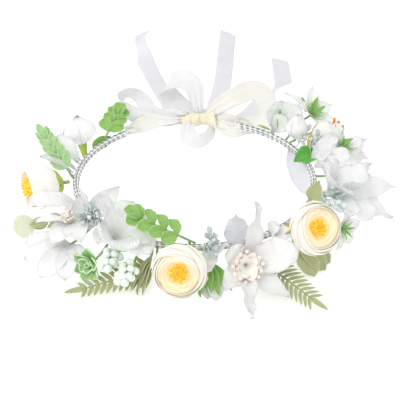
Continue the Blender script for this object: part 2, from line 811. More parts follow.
@dataclass
class Band:
    """The hoop: wires, the stems bound along it and the white tape wound round them."""

    finishes: Finishes
    half_thick: float = 2.3
    half_high: float = 2.6
    turns: int = 92
    groove: float = 0.7
    stem_radius: float = 0.5
    stem_set: tuple[tuple[float, float], ...] = ((-1.75, 1.0), (-0.2, 2.15), (1.4, 1.75), (1.95, -0.2),
                                                (1.4, -1.75), (-1.75, -0.9))

    def tape(self) -> None:
        """Tape wound in slanting turns, dipping between them so that the stems show."""
        steps, around = self.turns * 8, 24
        sweep = math.radians(HOOP_SWEEP - 2)
        start = math.radians(HOOP_START + 1)

        def bend(u: np.ndarray, v: np.ndarray) -> np.ndarray:
            """Winds the grid round the hoop."""
            turn = (v + 1) * np.pi
            wound = self.turns * u + turn / (2 * np.pi)
            ridge = np.clip(2.6 * np.abs(((wound % 1) - 0.5) * 2) - 0.55, 0, 1)
            uneven = 0.08 * np.sin(37 * u + 3 * turn) + 0.06 * np.sin(91 * u)
            size = 1 - (self.groove * (1 - ridge)) / self.half_high + uneven / self.half_high
            corner = np.maximum(np.abs(np.cos(turn)) ** 4 + np.abs(np.sin(turn)) ** 4, 0.2) ** -0.25
            radius = WIRE_RADIUS + (self.half_thick - 0.1) * corner * size * np.cos(turn)
            height = (self.half_high - 0.1) * corner * size * np.sin(turn)
            angle = start + sweep * u
            return np.column_stack([radius * np.cos(angle), radius * np.sin(angle), height])

        wrap = Posy("band_tape")
        wrap.take(close_round(bent_grid("band_tape", steps, around, bend)))
        wrap.finished(self.finishes.tape, "root", "tape", ["tape_wrap"])

    def stems(self) -> None:
        """Dark stem wires that run along the band just under the tape's ridges."""
        bound = Posy("bound_stems")
        for inset, height in self.stem_set:
            arc = [ring_point(HOOP_START + 2 + (HOOP_SWEEP - 4) * i / 60, WIRE_RADIUS + inset, height)
                   for i in range(61)]
            bound.take(rod("stem", arc, self.stem_radius, sides=6, rings=120))
        bound.finished(self.finishes.dark_stem, "root", "stem_green", ["stem_wires"])

    def eyelets(self) -> None:
        """Wire eyelets at the hoop's two ends, with a twist of wire at the foot."""
        for side, angle in (("left", HOOP_START - 4), ("right", HOOP_START + HOOP_SWEEP + 4)):
            eyelet = Posy(f"hoop_eyelet_{side}")
            centre = ring_point(angle, BAND_RADIUS + 3.4, 0)
            loop = [centre + Vector((4.6 * math.cos(t), 4.6 * math.sin(t), 0.25 * math.sin(2 * t)))
                    for t in np.linspace(0, 2 * math.pi, 25)]
            eyelet.take(rod("loop", loop, 0.9, sides=10, rings=36))
            eyelet.finished(self.finishes.wire, "root", "wire", [f"end_loop_{side}"])
        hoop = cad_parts["hoop_wires"].data
        hoop.materials.clear()
        hoop.materials.append(self.finishes.wire)

    def build(self) -> None:
        """Makes the band."""
        self.tape()
        self.stems()
        self.eyelets()


# ---------------------------------------------------------------- ribbon

@dataclass
class Strip:
    """A length of ribbon that follows stations: three places and the turn and tilt of its width."""

    name: str
    stations: Sequence[tuple[float, float, float, float, float]]
    origin: Triple = (0.0, 0.0, 0.0)
    up: Triple = (0.0, 1.0, 0.0)
    out: Triple = (0.0, 0.0, 1.0)
    width: float = 17.0
    start_gather: float = 1.0
    end_gather: float = 1.0
    slant: float = 0.0
    crease: float = 0.0
    rows: int = 60
    columns: int = 10

    def stretch(self) -> tuple[np.ndarray, np.ndarray]:
        """Centre line and width direction at every row.

        Returns:
            The centre points and the directions across, one to a row.
        """
        right, up, out = np.array([1.0, 0, 0]), np.array(self.up), np.array(self.out)
        marks = []
        for a, b, c, turn, tilt in self.stations:
            t, s = math.radians(turn), math.radians(tilt)
            place = np.array(self.origin) + a * right + b * up + c * out
            across = math.cos(s) * (math.cos(t) * right + math.sin(t) * up) + math.sin(s) * out
            marks.append([*place, *across])
        line = smooth_line(marks, self.rows + 1)
        ahead = np.gradient(line[:, :3], axis=0)
        ahead /= np.linalg.norm(ahead, axis=1)[:, None]
        across = line[:, 3:] - (line[:, 3:] * ahead).sum(1)[:, None] * ahead
        across /= np.linalg.norm(across, axis=1)[:, None]
        return line[:, :3], across

    def build(self, material: bpy.types.Material, slot: str, body: str, nodes: Sequence[str],
              held: str, rests_on: Sequence[str]) -> bpy.types.Object:
        """Args:
            material: its satin.
            slot: the record's material slot.
            body: the body that it moves with.
            nodes: the plain solids that it stands for.
            held: how the cloth is held.
            rests_on: what it lies on or hangs from.

        Returns:
            The finished ribbon.
        """
        line, across = self.stretch()
        ahead = np.gradient(line, axis=0)
        ahead /= np.linalg.norm(ahead, axis=1)[:, None]
        face = np.cross(ahead, across)

        def bend(u: np.ndarray, v: np.ndarray) -> np.ndarray:
            """Carries the grid along the strip."""
            i = np.rint(u * self.rows).astype(int)
            near = np.clip(1 - u / 0.3, 0, 1) ** 1.5 * (1 - self.start_gather)
            far = np.clip((u - 0.7) / 0.3, 0, 1) ** 1.5 * (1 - self.end_gather)
            gather = near + far
            half = self.width / 2 * (1 - gather)
            pleat = (0.9 * gather + 0.02) * self.width / 4 * np.sin(v * 2.6 * np.pi + 5 * u)
            curl = 0.35 * np.abs(v) ** 3
            rumple = self.crease * (np.sin(23 * u + 4 * v) + 0.7 * np.sin(41 * u - 7 * v + 1))
            slip = self.slant * v * np.clip((u - 0.82) / 0.18, 0, 1)
            return (line[i] + (half * v)[:, None] * across[i] + (pleat + curl + rumple)[:, None] * face[i]
                    + slip[:, None] * ahead[i])

        ribbon = Posy(self.name)
        ribbon.take(bent_grid(self.name, self.rows, self.columns, bend))
        obj = ribbon.finished(material, body, slot, nodes, wall=0.25, levels=1)
        return obj


@dataclass
class Bow:
    """The satin bow: knot, five loops, two spans to the hoop's ends and three loose tails."""

    finishes: Finishes
    knot_y: float = 98.5
    lean: float = 33.0

    def facing(self) -> dict[str, Triple]:
        """The sloping plane that the bow's loops are spread in."""
        s, c = math.sin(math.radians(self.lean)), math.cos(math.radians(self.lean))
        return {"origin": (0.0, self.knot_y, 0.0), "up": (0.0, s, c), "out": (0.0, -c, s)}

    def knot(self) -> None:
        """Ribbon wound round the crossing, crumpled together."""
        stations = []
        for i in range(23):
            turn = math.radians(i * 45 + 60)
            radius = 5.0 + 0.07 * i
            stations.append((-7.0 + 23.0 * i / 22, radius * math.cos(turn), radius * math.sin(turn),
                             12 * math.sin(1.3 * i), 10 * math.cos(1.7 * i)))
        strip = Strip("bow_knot_wrap", stations, **self.facing(), width=13, crease=0.35, rows=150)
        strip.build(self.finishes.knot_satin, "satin", "root", ["bow_knot"], "folded", ["band_tape"])

    def loops(self) -> None:
        """The five loops that stand out of the knot."""
        shapes = {
            "bow_loop_right": [(6, 1, 2, 126, 0), (20, 10, 5, 122, 0), (35, 18.5, 8, 117, 5),
                               (49, 23.5, 9, 95, 10),
                               (58.5, 19, 9, 45, 12), (61.5, 8, 7, 0, 5), (57, -2.5, 4, -50, 5),
                               (44, -6, 1, -82, 15), (27, -4.5, -1, -88, 10), (10, -1, 0, -90, 0)],
            "bow_loop_centre": [(2, 3, -3, 50, 0), (-9, 10, -7, 54, 0), (-20, 18, -8, 58, 0),
                                (-26, 26, -3, 60, 0),
                                (-20, 32, 4, 60, 0), (-10, 33, 8, 58, 0), (-1.5, 26, 9, 38, 0),
                                (1, 16, 7, 14, 0),
                                (3, 5, 4, 5, 0)],
            "bow_loop_left": [(-10, 1, 1, 80, 20), (-25, 2, 0, 60, 20), (-37, 5, -1, 30, 10),
                              (-44, 13, -2, 30, 10),
                              (-50, 20, -3, 50, 35), (-58, 22, 0, 80, 60), (-65, 17, 4, 100, 45),
                              (-65, 10, 6, 75, 15), (-57, 5, 5, 62, 10), (-44, 0, 3, 66, 20),
                              (-26, -2, 3, 80, 20),
                              (-9, -1, 2, 85, 20)],
            "bow_loop_low_centre": [(-3, 1, 2, -5, 0), (-7, -8, 5, 8, 0), (-5.5, -16, 7, 30, 10),
                                    (2, -20, 7, 70, 30),
                                    (10, -16.5, 4, 110, 45), (14, -8, 1, 128, 50), (13, 0, -1, 130, 45)],
            "bow_loop_low_right": [(12, -1, 2, 92, 10), (23, -7, 3, 80, 15), (35, -11, 3, 74, 30),
                                   (45, -10, 0, 60, 55), (43, -6, -3, 75, 40), (28, -3.5, -4, 88, 20),
                                   (14, -1, -2, 90, 10)],
        }
        for name, stations in shapes.items():
            strip = Strip(name + "_ribbon", stations, **self.facing(), start_gather=0.45, end_gather=0.45,
                          width=13.5 if "low" in name or "left" in name else 17, crease=0.12)
            pale = "left" in name or "centre" in name
            strip.build(self.finishes.pale_satin if pale else self.finishes.cream_satin, "satin", "root",
                        [name], "folded", ["bow_knot_wrap"])

    def spans(self) -> None:
        """Ribbon drawn from the knot to the two ends of the hoop."""
        shapes = {
            "ribbon_span_left": [(-60, -12.5, 3, 120, 10), (-47, -6, 4, 114, 0), (-31, -0.5, 3, 106, 0),
                                 (-17, 2, 2, 98, 0), (-5, 0.5, 1, 90, 0)],
            "ribbon_span_right": [(12, 0, 1, 86, 0), (22, -1.5, 3, 80, 0), (31, -4, 3, 72, 10),
                                  (38, -7.5, 2, 66, 20)],
        }
        gathers = {"ribbon_span_left": (0.4, 0.45), "ribbon_span_right": (0.5, 0.5)}
        for name, stations in shapes.items():
            start, end = gathers[name]
            strip = Strip(name + "_ribbon", stations, **self.facing(), start_gather=start, end_gather=end,
                          crease=0.2, width=14)
            strip.build(self.finishes.cream_satin, "satin", "root", [name], "stretched", ["bow_knot_wrap"])

    def tails(self) -> None:
        """The three loose ends, which fall to the table and lie there."""
        z = FLOOR + 1.1
        shapes = {
            "left": ([(-2, 110, -7, 0, 0), (-8, 122, -14, 0, 0), (-13, 140, -24, 8, 0),
                      (-21, 165, z, 14, 0),
                      (-30, 195, z, 18, 0), (-40, 228, z, 22, 0), (-49, 258, z + 1.5, 24, 4),
                      (-56, 283, z + 6.5, 22, 48), (-59, 303, z + 7.5, 15, 62), (-59, 322, z + 6, 5, 35),
                      (-58, 343, z + 3, 0, 12)], 7.0),
            "centre": ([(6, 110, -7, 0, 0), (9, 122, -14, 0, 0), (13, 142, -24, -5, 0), (18, 168, z, -9, 0),
                        (24, 205, z + 0.3, -9, 0), (28, 245, z, -7, 3), (31, 290, z + 0.6, -6, -3),
                        (35, 350, z, -5, 0)], -8.5),
            "right": ([(14, 109, -7, 0, 0), (25, 121, -14, -20, 0), (36, 138, -23, -38, 0),
                       (50, 158, z, -36, 0),
                       (62, 182, z + 1, -34, 6), (72, 197, z + 4, -40, 30), (81, 205, z + 5, -30, 30),
                       (86, 220, z + 2, -8, 12), (87, 245, z, 0, 0), (87, 279, z, 0, 0)], -5.0),
        }
        for side, (stations, slant) in shapes.items():
            strip = Strip(f"ribbon_tail_{side}", stations, start_gather=0.4, slant=slant, rows=90)
            strip.build(self.finishes.cool_satin, "tail_satin", f"{side}_tail", [f"tail_{side}"], "laid",
                        ["bow_knot_wrap", "tabletop"])

    def build(self) -> None:
        """Makes the bow."""
        self.knot()
        self.loops()
        self.spans()
        self.tails()


# ---------------------------------------------------------------- blooms

@dataclass(frozen=True)
class Layer:
    """One ring of overlapping petals in a full bloom, as shares of the bloom's radius and depth."""

    size: float
    rim: float
    petals: int = 5
    lean_out: float = 0.0
    turn: float = 0.0


@dataclass
class FullBloom:
    """A many-petalled bloom drawn along +Z, its petals cupped round one another."""

    name: str
    place: Matrix
    radius: float
    depth: float
    closing: float = 1.95
    span: float = 108.0
    seed: int = 0

    def petal(self, layer: Layer, number: int) -> bpy.types.Object:
        """One cupped petal, in place.

        Args:
            layer: the ring that the petal belongs to.
            number: its place in the ring.

        Returns:
            The petal.
        """
        middle = math.radians(layer.turn + 360 * number / layer.petals)
        reach = math.radians(self.span * (5 / layer.petals)) / 2
        wobble = self.seed + 3 * number + 7 * layer.size
        height = self.depth * layer.rim * (1 + 0.03 * math.sin(2.3 * wobble))

        def bend(u: np.ndarray, v: np.ndarray) -> np.ndarray:
            """Cups the grid round the axis."""
            w = u * (1 - 0.20 * np.abs(v) ** 2.8)
            radius = self.radius * layer.size * np.sin(self.closing * w)
            radius = radius * (1 + 0.045 * v + 0.012 * np.sin(5 * v + wobble) * w)
            radius = radius + self.radius * layer.lean_out * np.clip((w - 0.72) / 0.28, 0, 1) ** 2
            z = height * (w ** 1.15) + 0.02 * self.radius * np.sin(4 * v + wobble) * w ** 3
            angle = middle + v * reach
            return np.column_stack([radius * np.cos(angle), radius * np.sin(angle), z])

        return bent_grid(self.name, 12, 12, bend)

    def petals(self, layers: Sequence[Layer], part: str, material: bpy.types.Material, body: str, slot: str,
               nodes: Sequence[str] = ()) -> None:
        """Makes the petals of some of the bloom's layers.

        Args:
            layers: the rings to make.
            part: word for these rings in the piece's name.
            material: its finish.
            body: the body that it moves with.
            slot: the record's material slot.
            nodes: the plain solids that it stands for.
        """
        bloom = Posy(f"{self.name}_{part}_petals")
        placed = self.place.copy()
        placed.translation = self.place.translation * MM
        for layer in layers:
            for number in range(layer.petals):
                petal = self.petal(layer, number)
                petal.data.transform(placed)
                bloom.take(petal)
        bloom.finished(material, body, slot, nodes, wall=0.28, levels=1)

    def eye(self, material: bpy.types.Material, body: str, node: str, foot: float, top: float,
            wide: float) -> None:
        """Frilled rings of flock in the middle of the bloom.

        Args:
            material: its finish.
            body: the body that it moves with.
            node: the plain solid that it stands for.
            foot: height at which the rings start.
            top: height of the tallest ring.
            wide: radius of the widest ring.
        """
        frill = Posy(self.name + "_frilled_eye")
        placed = self.place.copy()
        placed.translation = self.place.translation * MM
        for share, tall in ((1.0, 0.86), (0.68, 1.0), (0.36, 0.92)):
            size = wide * share

            def bend(u: np.ndarray, v: np.ndarray, size: float = size, tall: float = tall) -> np.ndarray:
                """Closes the grid into a frilled ring."""
                turn = (v + 1) * np.pi
                frills = np.sin(9 * turn + 11 * size) + 0.6 * np.sin(15 * turn + 5 * size)
                radius = size * (0.62 + 0.38 * u ** 0.7 + 0.16 * frills * u)
                ragged = 1 + 0.13 * np.sin(13 * turn + 3 * size) * u
                z = foot + (top - foot) * tall * u * ragged
                return np.column_stack([radius * np.cos(turn), radius * np.sin(turn), z])

            ring = close_round(bent_grid("frill", 6, 90, bend), caps=False)
            ring.data.transform(placed)
            frill.take(ring)
        frill.finished(material, body, "eye_yellow", [node], wall=FIRM_WALL)

    def sepals(self, material: bpy.types.Material, stem: bpy.types.Material, body: str, node: str,
               length: float,
               count: int = 5) -> None:
        """Pointed sepals under the bloom, and its short stem.

        Args:
            material: its finish.
            stem: finish of the stem.
            body: the body that it moves with.
            node: the plain solid that it stands for.
            length: length of the stem.
            count: number of sepals.
        """
        calyx = Posy(self.name + "_sepals")
        blade = Blade(self.radius * 0.95, self.radius * 0.5, curl=-62, cup=0.3, keel=0.15)
        for i in range(count):
            calyx.blade(blade, self.place @ turned(i * 360 / count, "Z")
                        @ Matrix.Translation((0.5, 0, -0.09 * self.radius)) @ turned(-8, "Y"), i)
        calyx.finished(material, body, "calyx_green", [node], wall=0.7)
        stalk = Posy(self.name + "_stalk")
        stalk.take(rod("stalk", [self.place @ Vector((0, 0, -s)) for s in (0.0, length * 0.5, length)],
                       1.4))
        stalk.finished(stem, body, "stem_green")


@dataclass
class Ranunculi:
    """The three open ranunculus blooms."""

    finishes: Finishes
    outer: tuple[Layer, ...] = (
        Layer(1.0, 0.70, 4, 0.03, 10), Layer(0.98, 0.84, 4, 0.0, 52), Layer(0.92, 0.95, 4, -0.02, 96),
        Layer(0.84, 1.0, 3, -0.03, 30))
    inner: tuple[Layer, ...] = (
        Layer(0.72, 0.99, 4, -0.02, 64), Layer(0.63, 0.96, 4, 0.0, 8), Layer(0.55, 0.90, 4, 0.0, 52),
        Layer(0.47, 0.84, 4, 0.0, 20))

    def one(self, side: str, place: Matrix, radius: float, depth: float, seed: int, stem: float,
            eye: Triple = (0.45, 0.88, 0.30)) -> None:
        """One bloom with its eye, sepals and stalk.

        Args:
            side: which of the three blooms.
            place: carries +Z to its axis.
            radius: radius of the bloom.
            depth: depth of the bloom.
            seed: moves the waves of its petals.
            stem: length of its stem.
            eye: foot, top and width of the eye, as shares of the depth and the radius.
        """
        bloom = FullBloom(f"ranunculus_{side}", place, radius, depth, seed=seed)
        body = f"{side}_ranunculus"
        bloom.petals(self.outer, "outer", self.finishes.cream, body, "ivory_petal",
                     [f"ranunculus_{side}_petals"])
        bloom.petals(self.inner if seed < 3 else self.inner[2:], "inner", self.finishes.ivory, body,
                     "ivory_petal")
        foot, top, wide = eye
        bloom.eye(self.finishes.eye, body, f"ranunculus_{side}_eye", foot * depth, top * depth,
                  wide * radius)
        bloom.sepals(self.finishes.calyx, self.finishes.stem, body, f"ranunculus_{side}_calyx", stem)

    def build(self) -> None:
        """Makes the three blooms."""
        self.one("front", standing(ring_point(266, 104, -4), 260, 12), 18.8, 24.7, 1, 7.5)
        self.one("right", standing(ring_point(318, 107, 1), 300, 34), 19.0, 22.4, 2, 9.0)
        self.one("left", standing(ring_point(185, 104, 1), 206, 6), 17.5, 27.0, 3, 7.0, (0.5, 1.06, 0.42))


@dataclass
class Buds:
    """The closed bud on the left, and the round bud and open cup on the back right."""

    finishes: Finishes

    def left(self) -> None:
        """Closed bud in its spiky calyx."""
        place = standing(foot("bud_left"), 124, 72)
        raised = place @ Matrix.Translation((0, 0, 8))
        layers = (Layer(1.0, 0.94, 4, 0.0, 0), Layer(0.92, 0.98, 4, 0.0, 45), Layer(0.8, 0.97, 3, 0.0, 20))
        FullBloom("bud_left", raised, 13.2, 25, closing=2.95, seed=4).petals(
            layers, "closed", self.finishes.white, "left_bud", "white_petal", ["bud_left_petals"])
        calyx = Posy("bud_left_spiky_calyx")
        for ring, (count, tilt, size) in enumerate(((9, 76, 22.0), (9, 62, 20.0))):
            for i in range(count):
                turn = turned((i + ring / 2) * 360 / count, "Z")
                calyx.blade(Blade(size, 5.4, curl=-58, cup=0.4, keel=0.2),
                            place @ turn @ Matrix.Translation((1.5, 0, 4)) @ turned(-tilt, "Y"), i)
        calyx.take(rod("stalk", [place @ Vector((0, 0, s)) for s in (-2, 3, 8)], 1.6, 2.2))
        calyx.finished(self.finishes.calyx, "left_bud", "calyx_green", ["bud_left_calyx"], wall=0.6)

    def back(self) -> None:
        """Round bud beside the open cup."""
        place = standing(foot("bud_back"), 75, 70)
        layers = (Layer(1.0, 0.95, 4, 0.0, 0), Layer(0.88, 1.0, 4, 0.0, 45))
        FullBloom("bud_back", place, 9.2, 21, closing=2.95, seed=5).petals(
            layers, "closed", self.finishes.white, "root", "white_petal", ["bud_back_petals"])

    def cup(self) -> None:
        """Cream cup, open outwards, with forked orange stamens and ochre sepals."""
        place = standing(foot("cup_back"), 34, 30)
        layers = (Layer(1.0, 0.9, 3, 0.06, 80), Layer(0.93, 1.0, 3, 0.03, 20))
        cup = FullBloom("cup_back", place, 13.0, 26, closing=2.05, span=84, seed=6)
        cup.petals(layers, "cupped", self.finishes.cup, "root", "ivory_petal", ["cup_back_petals"])
        stamens = Posy("cup_back_forked_stamens")
        for i in range(7):
            aim = place @ turned(i * 360 / 7, "Z")
            line = [aim @ Vector(p) for p in ((0, 0, 8), (1.4, 0, 18), (3.2, 0, 26), (5.0 + i % 2, 0, 32))]
            stamens.take(rod("stamen", line, 0.75, 0.8, sides=6))
            stamens.copy(("tip",), ball(1.3), Matrix.Translation(line[-1]))
        stamens.finished(self.finishes.orange, "root", "stamen_orange", ["cup_back_stamens"])
        sepals = Posy("cup_back_ochre_sepals")
        for i, turn in enumerate((165, 235)):
            sepals.blade(Blade(17, 6.0, curl=-55, cup=0.3, keel=0.1),
                         place @ turned(turn, "Z") @ Matrix.Translation((1, 0, -1.5)) @ turned(-14, "Y"), i)
        sepals.finished(self.finishes.ochre, "root", "ochre_leaf", ["cup_back_calyx"], wall=FIRM_WALL)

    def build(self) -> None:
        """Makes the buds and the cup."""
        self.left()
        self.back()
        self.cup()


# ---------------------------------------------------------------- blossoms

@dataclass(frozen=True)
class Whorl:
    """A ring of petals, opened by an angle from the blossom's axis."""

    blade: Blade
    count: int
    opening: float
    turn: float = 0.0
    scatter: float = 6.0

    def add_to(self, posy: Posy, place: Matrix) -> None:
        """Adds the ring to a piece.

        Args:
            posy: the piece that takes the ring.
            place: carries +Z to the blossom's axis.
        """
        for i in range(self.count):
            sway = self.scatter * math.sin(2.7 * i + self.turn)
            posy.blade(self.blade, place @ turned(self.turn + i * 360 / self.count + sway, "Z")
                       @ turned(self.opening + sway - 90, "Y") @ turned(2 * sway, "X"), i)


@dataclass(frozen=True)
class Tip:
    """One petal by where its tip comes, its width and its roll."""

    at: Triple
    width: float
    roll: float = 0.0
    cut: Cut = Cut.POINTED
    curl: float = 25.0
    cup: float = 0.2
    ruffle: float = 1.0
    twist: float = 0.0

    def add_to(self, posy: Posy, start: Vector, seed: int) -> None:
        """Adds the petal, whose bend is allowed for so that its tip ends in place.

        Args:
            posy: the piece that takes the petal.
            start: where the petal begins.
            seed: moves its waves.
        """
        reach = (Vector(self.at) - start).length
        arc = math.radians(self.curl)
        length = reach * (arc / 2) / math.sin(arc / 2) if arc else reach
        blade = Blade(length, self.width, self.cut, self.curl, self.cup, self.ruffle, twist=self.twist,
                      rows=16)
        posy.blade(blade, towards(start, Vector(self.at), self.roll) @ turned(-self.curl / 2, "Y"), seed)


def tipped(name: str, start: Vector, tips: Sequence[Tip]) -> Posy:
    """Starts a piece from petals given by their tips.

    Args:
        name: the piece's name.
        start: where all its petals begin.
        tips: the petals.

    Returns:
        The piece, not yet joined.
    """
    posy = Posy(name)
    for seed, tip in enumerate(tips):
        tip.add_to(posy, start, seed)
    return posy


def beads_on_threads(name: str, place: Matrix, count: int, opening: float, length: float, thread: float,
                     bead: float) -> tuple[Posy, Posy]:
    """Stamens: threads round an axis, and a bead on each.

    Args:
        name: start of the two pieces' names.
        place: carries +Z to the blossom's axis.
        count: number of stamens.
        opening: angle of the threads from the axis.
        length: length of a thread.
        thread: radius of a thread.
        bead: radius of a bead.

    Returns:
        The threads and the beads.
    """
    threads, beads = Posy(name + "_threads"), Posy(name + "_beads")
    for i in range(count):
        far = length * (1 + 0.14 * (i % 2) + 0.05 * math.sin(3.1 * i))
        aim = place @ turned(i * 360 / count, "Z") @ turned(opening + 3 * math.sin(2.1 * i), "Y")
        line = [aim @ Vector(p) for p in ((0, 0, 1.5), (0.4, 0, far / 2), (-0.2, 0, far))]
        threads.take(rod("thread", line, thread, sides=5, rings=5))
        beads.copy(("bead", bead), ball(bead), aim @ Matrix.Translation((-0.2, 0, far)))
    return threads, beads


@dataclass
class Blossoms:
    """Open blossoms with separate petals: magnolias, lilies and the sheer organza flowers."""

    finishes: Finishes

    def magnolia_front(self) -> None:
        """The big ruffled blossom at the front, with its column and ring of pearled stamens."""
        centre = ring_point(288, 112, -4)
        body = "front_magnolia"
        petals = tipped("magnolia_front_ruffled_petals", centre, [
            Tip((43, -92, 38), 15, 50, ruffle=2.4, curl=35, twist=30),
            Tip((71, -108, 9), 24, 42, Cut.ROUND, 15, 0.25, 4.2),
            Tip((66, -123, -20), 15, 50, ruffle=2.0, curl=35),
            Tip((38, -141, -24), 13, 12, curl=50, cup=0.5, ruffle=3.0, twist=-60),
            Tip((20, -121, -15), 17, -40, curl=30, cup=0.3, ruffle=3.0, twist=20),
            Tip((24, -103, 8), 17, -55, Cut.ROUND, 25, 0.3, 1.4)])
        petals.finished(self.finishes.magnolia, body, "white_petal", ["magnolia_front_petals"],
                        wall=PETAL_WALL, levels=1)
        axis = standing(centre, 280, 28)
        threads, beads = beads_on_threads("magnolia_front", axis, 26, 38, 14.0, 0.35, 1.5)
        threads.finished(self.finishes.filament, body, "stamen_pink")
        beads.finished(self.finishes.pearl, body, "stamen_pink", ["magnolia_front_stamens"])
        column = Posy("magnolia_front_column")
        for i, (turn, size) in enumerate(((10, 17.5), (95, 15.0), (160, 17.0), (235, 14.0), (305, 16.5))):
            column.blade(Blade(size, 11.5, Cut.ROUND, curl=55, cup=0.5, ruffle=2.6),
                         axis @ turned(turn, "Z") @ Matrix.Translation((0.4, 0, 0)) @ turned(-82, "Y"), i)
        column.finished(self.finishes.column, body, "white_petal", wall=LEAF_WALL, levels=1)
        stem = Posy("magnolia_front_wired_stem")
        stem.take(rod("stem", [ring_point(288, 95.6, -1), ring_point(288, 102, -2),
                               ring_point(288, 110, -4)], 0.9))
        stem.finished(self.finishes.stem, body, "stem_green", ["magnolia_front_stem"])

    def magnolia_left(self) -> None:
        """Half-open blossom on the left with fine pink stamens."""
        centre = foot("magnolia_left")
        petals = tipped("magnolia_left_petals_cloth", centre, [
            Tip((-66, -67, 5), 15, 40, curl=15, ruffle=0.6),
            Tip((-79, -89, 2), 20, 10, curl=30, ruffle=0.9),
            Tip((-101, -87, -2), 20, 0, curl=25, ruffle=1.0),
            Tip((-114, -69, 5), 19, 20, Cut.ROUND, 30, ruffle=0.9),
            Tip((-101, -48, 14), 16, 50, Cut.ROUND, 30, 0.3, 0.8),
            Tip((-83, -52, 18), 13, 60, curl=20, ruffle=0.5)])
        petals.finished(self.finishes.white, "root", "white_petal", ["magnolia_left_petals"],
                        wall=PETAL_WALL, levels=1)
        threads, beads = beads_on_threads("magnolia_left", standing(centre, 235, 60), 14, 26, 10.5, 0.28,
                                          0.95)
        threads.finished(self.finishes.filament, "root", "stamen_pink")
        beads.finished(self.finishes.pearl, "root", "stamen_pink", ["magnolia_left_stamens"])

    def lily(self, name: str, node: str, place: Matrix, blade: Blade, count: int, opening: float,
             turn: float,
             throat: bool = True) -> None:
        """A lily: pointed petals with green lines at the throat, and a few stamens.

        Args:
            name: the piece's name.
            node: the plain solid that it stands for.
            place: carries +Z to the blossom's axis.
            blade: shape of a petal.
            count: number of petals.
            opening: angle of the petals from the axis.
            turn: turn of the whole ring about the axis.
            throat: whether it has green lines and stamens.
        """
        posy = Posy(name)
        Whorl(blade, count, opening, turn).add_to(posy, place)
        finish = self.finishes.lily if throat else self.finishes.white
        posy.finished(finish, "root", "white_petal", [node], wall=0.25, levels=1)
        if throat:
            stamens = Posy(name + "_throat")
            for i in range(6):
                stamens.blade(Blade(11, 1.8, Cut.SLIM, curl=30, cup=0.5, rows=6, columns=2),
                              place @ turned(i * 60 + 20, "Z") @ turned(-62, "Y"), 0)
            stamens.finished(self.finishes.fresh, "root", "fresh_green", wall=FIRM_WALL)

    def lilies(self) -> None:
        """The five lilies and the thin-petalled blossom."""
        wavy = Blade(24, 10.5, curl=35, cup=0.3, ruffle=0.9, keel=0.15)
        self.lily("lily_back_petals", "lily_back", standing(foot("lily_back"), 345, 58),
                  replace(wavy, length=30, width=13), 6, 56, 0)
        self.lily("lily_right_petals", "lily_right", standing(foot("lily_right"), 330, 52),
                  replace(wavy, length=26, width=11), 6, 52, 15)
        self.lily("blossom_right_petals", "blossom_right", standing(foot("blossom_right"), 2, 14),
                  Blade(34, 8.5, curl=38, cup=0.3, ruffle=2.4, twist=45), 8, 36, 10, throat=False)
        self.lily("lily_low_right_petals", "lily_low_right", standing(foot("lily_low_right"), 320, 10),
                  replace(wavy, length=19, width=11), 5, 60, 20)
        low = tipped("lily_low_left_petals", foot("lily_low_left"), [
            Tip((-122, -74, -9), 17, -30, Cut.ROUND, 20, 0.25, 1.1),
            Tip((-121, -89, -13), 16, -25, Cut.ROUND, 25, 0.25, 1.1),
            Tip((-107, -106, -17), 17, -15, Cut.ROUND, 30, 0.25, 1.1),
            Tip((-90, -108, -17), 15, 0, Cut.ROUND, 30, 0.3, 1.0),
            Tip((-78, -96, -12), 13, 10, Cut.ROUND, 30, 0.3, 0.8)])
        low.finished(self.finishes.white, "root", "white_petal", ["lily_low_left"], wall=PETAL_WALL,
                     levels=1)

    def organzas(self) -> None:
        """The sheer flowers, greyish where their layers overlap."""
        right = tipped("organza_right_petals", foot("organza_right"), [
            Tip((152, -22, 6), 22, 30, ruffle=2.2, curl=30),
            Tip((149, -38, -12), 22, 20, ruffle=2.2, curl=30),
            Tip((131, -49, -6), 26, 0, Cut.SPOON, 35, 0.3, 2.0),
            Tip((112, -58, 2), 26, -20, Cut.SPOON, 40, 0.3, 1.8),
            Tip((130, -6, 13), 24, 40, Cut.SPOON, 45, 0.35, 2.0),
            Tip((110, -5, 17), 24, 60, Cut.SPOON, 50, 0.3, 1.8),
            Tip((104, -44, 20), 28, -50, Cut.SPOON, 50, 0.35, 1.8),
            Tip((102, 2, 15), 24, 70, Cut.SPOON, 40, 0.3, 2.0),
            Tip((95, -14, 24), 24, 60, Cut.SPOON, 45, 0.3, 2.0),
            Tip((96, 11, 12), 24, 50, Cut.SPOON, 35, 0.3, 2.2),
            Tip((130, -28, 19), 28, 0, Cut.SPOON, 60, 0.3, 2.2)])
        right.finished(self.finishes.organza, "root", "organza", ["organza_right"], wall=SHEER_WALL,
                       levels=1)
        left = tipped("organza_left_petals", foot("organza_left"), [
            Tip((-66, -62, 24), 24, 50, ruffle=1.6, curl=25, twist=-20),
            Tip((-42, -74, 26), 28, 60, Cut.SPOON, 40, 0.3, 1.8),
            Tip((-28, -86, 12), 26, 30, Cut.SPOON, 45, 0.3, 1.6),
            Tip((-30, -104, 2), 26, 0, Cut.SPOON, 40, 0.35, 1.4),
            Tip((-48, -108, 8), 28, -10, Cut.SPOON, 45, 0.3, 1.8),
            Tip((-64, -100, 12), 24, -30, Cut.SPOON, 40, 0.3, 1.5)])
        left.finished(self.finishes.organza, "root", "organza", ["organza_left"], wall=SHEER_WALL, levels=1)
